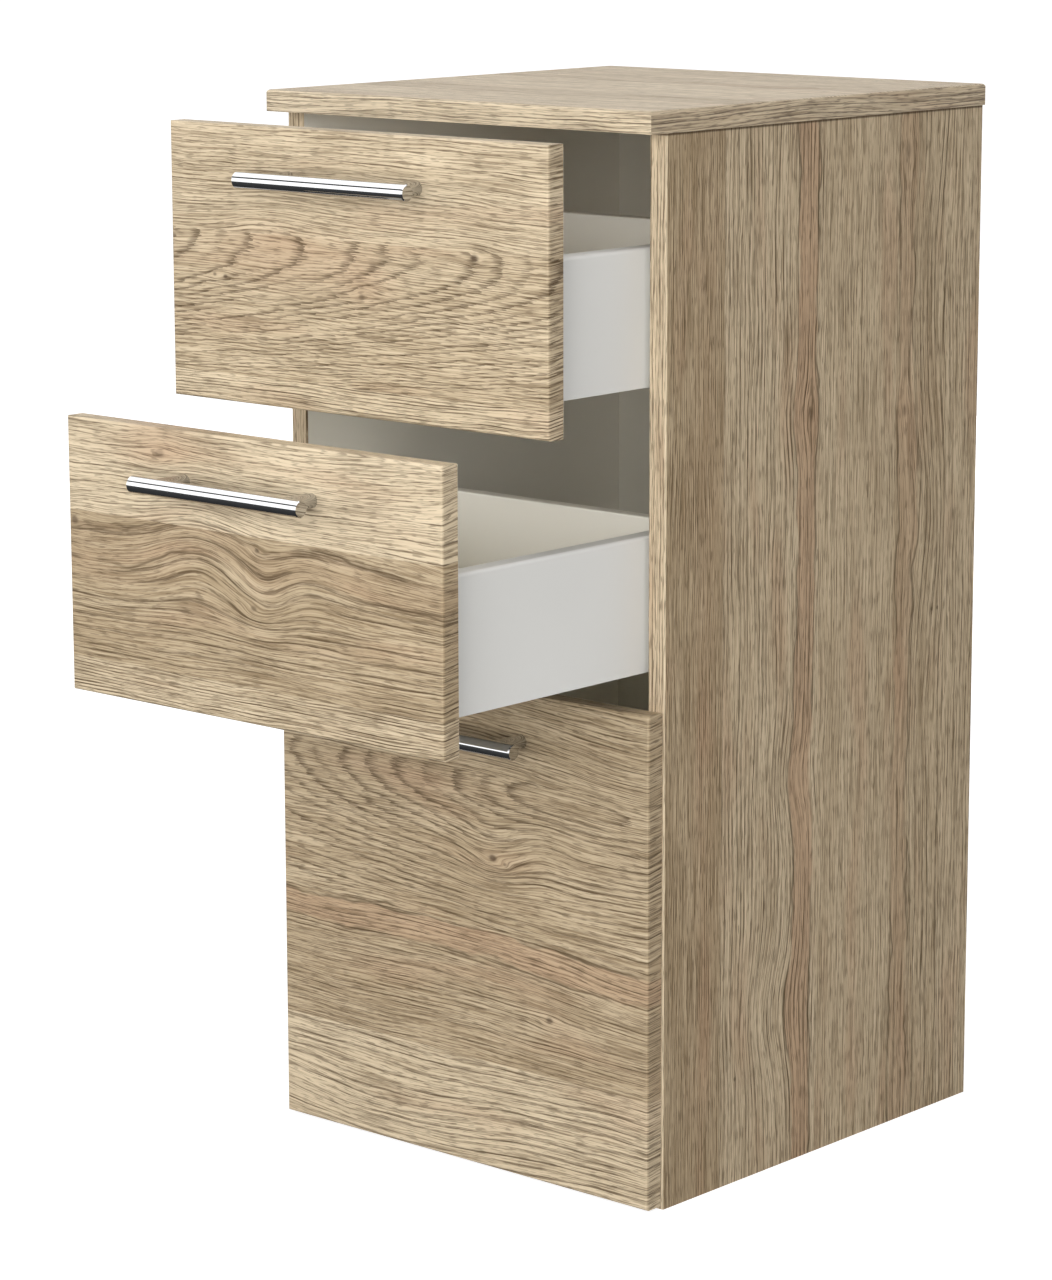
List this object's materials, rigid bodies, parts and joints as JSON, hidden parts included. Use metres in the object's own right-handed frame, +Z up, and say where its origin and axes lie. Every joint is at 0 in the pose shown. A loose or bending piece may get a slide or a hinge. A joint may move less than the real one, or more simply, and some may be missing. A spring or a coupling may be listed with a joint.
{
  "type": "mid-height bathroom cabinet",
  "caption": "Narrow mid-height bathroom cabinet in light oak decor with drawers over a deep pull-out, chrome bar handles and an overhanging top; the upper drawers stand open.",
  "frame": {"origin": "on the floor, at the centre of the carcass's footprint (side panels' width and depth)", "axes": "+Z up, -Y out of the fronts towards the user, +X to the user's right when facing the fronts"},
  "size_m": [0.37, 0.638, 0.79],
  "materials": {
    "oak": "textured light oak decor board",
    "white_board": "matte white coated board",
    "chrome": "polished chrome",
    "steel": "zinc-plated steel",
    "zinc": "die-cast zinc",
    "beech": "raw turned beech",
    "nylon": "natural nylon",
    "buffer": "clear soft buffer"
  },
  "bodies": {
    "carcass": {"side_panel_left": "oak", "side_panel_right": "oak", "top_panel": "oak", "bottom_panel": "white_board", "back_panel": "white_board", "cam_locks": "zinc", "cam_bolts": "steel", "wood_dowels": "beech", "wall_brackets": "steel", "wall_bracket_screws": "steel", "rail_screws": "steel", "upper_cabinet_rail_left": "steel", "upper_cabinet_rail_right": "steel", "middle_cabinet_rail_left": "steel", "middle_cabinet_rail_right": "steel", "lower_cabinet_rail_left": "steel", "lower_cabinet_rail_right": "steel"},
    "upper_drawer": {"upper_front": "oak", "upper_front_buffers": "buffer", "upper_front_cams": "zinc", "upper_front_bolts": "steel", "upper_handle_bar": "chrome", "upper_handle_posts": "chrome", "upper_handle_screws": "steel", "upper_box_side_left": "white_board", "upper_box_side_right": "white_board", "upper_box_back": "white_board", "upper_box_bottom": "white_board", "upper_drawer_rail_left": "steel", "upper_drawer_rail_right": "steel"},
    "upper_cages": {"upper_runner_cages": "nylon"},
    "middle_drawer": {"middle_front": "oak", "middle_front_buffers": "buffer", "middle_front_cams": "zinc", "middle_front_bolts": "steel", "middle_handle_bar": "chrome", "middle_handle_posts": "chrome", "middle_handle_screws": "steel", "middle_box_side_left": "white_board", "middle_box_side_right": "white_board", "middle_box_back": "white_board", "middle_box_bottom": "white_board", "middle_drawer_rail_left": "steel", "middle_drawer_rail_right": "steel"},
    "middle_cages": {"middle_runner_cages": "nylon"},
    "lower_drawer": {"lower_front": "oak", "lower_front_buffers": "buffer", "lower_front_cams": "zinc", "lower_front_bolts": "steel", "lower_handle_bar": "chrome", "lower_handle_posts": "chrome", "lower_handle_screws": "steel", "lower_box_side_left": "white_board", "lower_box_side_right": "white_board", "lower_box_back": "white_board", "lower_box_bottom": "white_board", "lower_drawer_rail_left": "steel", "lower_drawer_rail_right": "steel"},
    "lower_cages": {"lower_runner_cages": "nylon"}
  },
  "joints": [
    {"name": "upper_slide", "type": "slide", "parent": "carcass", "child": "upper_drawer", "axis": [0, -1, 0], "range_m": [-0.1063, 0.1137]},
    {"name": "upper_cage_slide", "type": "slide", "parent": "carcass", "child": "upper_cages", "axis": [0, -1, 0], "range_m": [-0.05325, 0.05695]},
    {"name": "middle_slide", "type": "slide", "parent": "carcass", "child": "middle_drawer", "axis": [0, -1, 0], "range_m": [-0.2125, 0.0075]},
    {"name": "middle_cage_slide", "type": "slide", "parent": "carcass", "child": "middle_cages", "axis": [0, -1, 0], "range_m": [-0.10635, 0.00385]},
    {"name": "lower_slide", "type": "slide", "parent": "carcass", "child": "lower_drawer", "axis": [0, -1, 0], "range_m": [0, 0.22]},
    {"name": "lower_cage_slide", "type": "slide", "parent": "carcass", "child": "lower_cages", "axis": [0, -1, 0], "range_m": [-0.0001, 0.1101]}
  ],
  "couplings": [
    {"joint": "upper_cage_slide", "follows": "upper_slide", "ratio": 0.5},
    {"joint": "middle_cage_slide", "follows": "middle_slide", "ratio": 0.5},
    {"joint": "lower_cage_slide", "follows": "lower_slide", "ratio": 0.5}
  ]
}
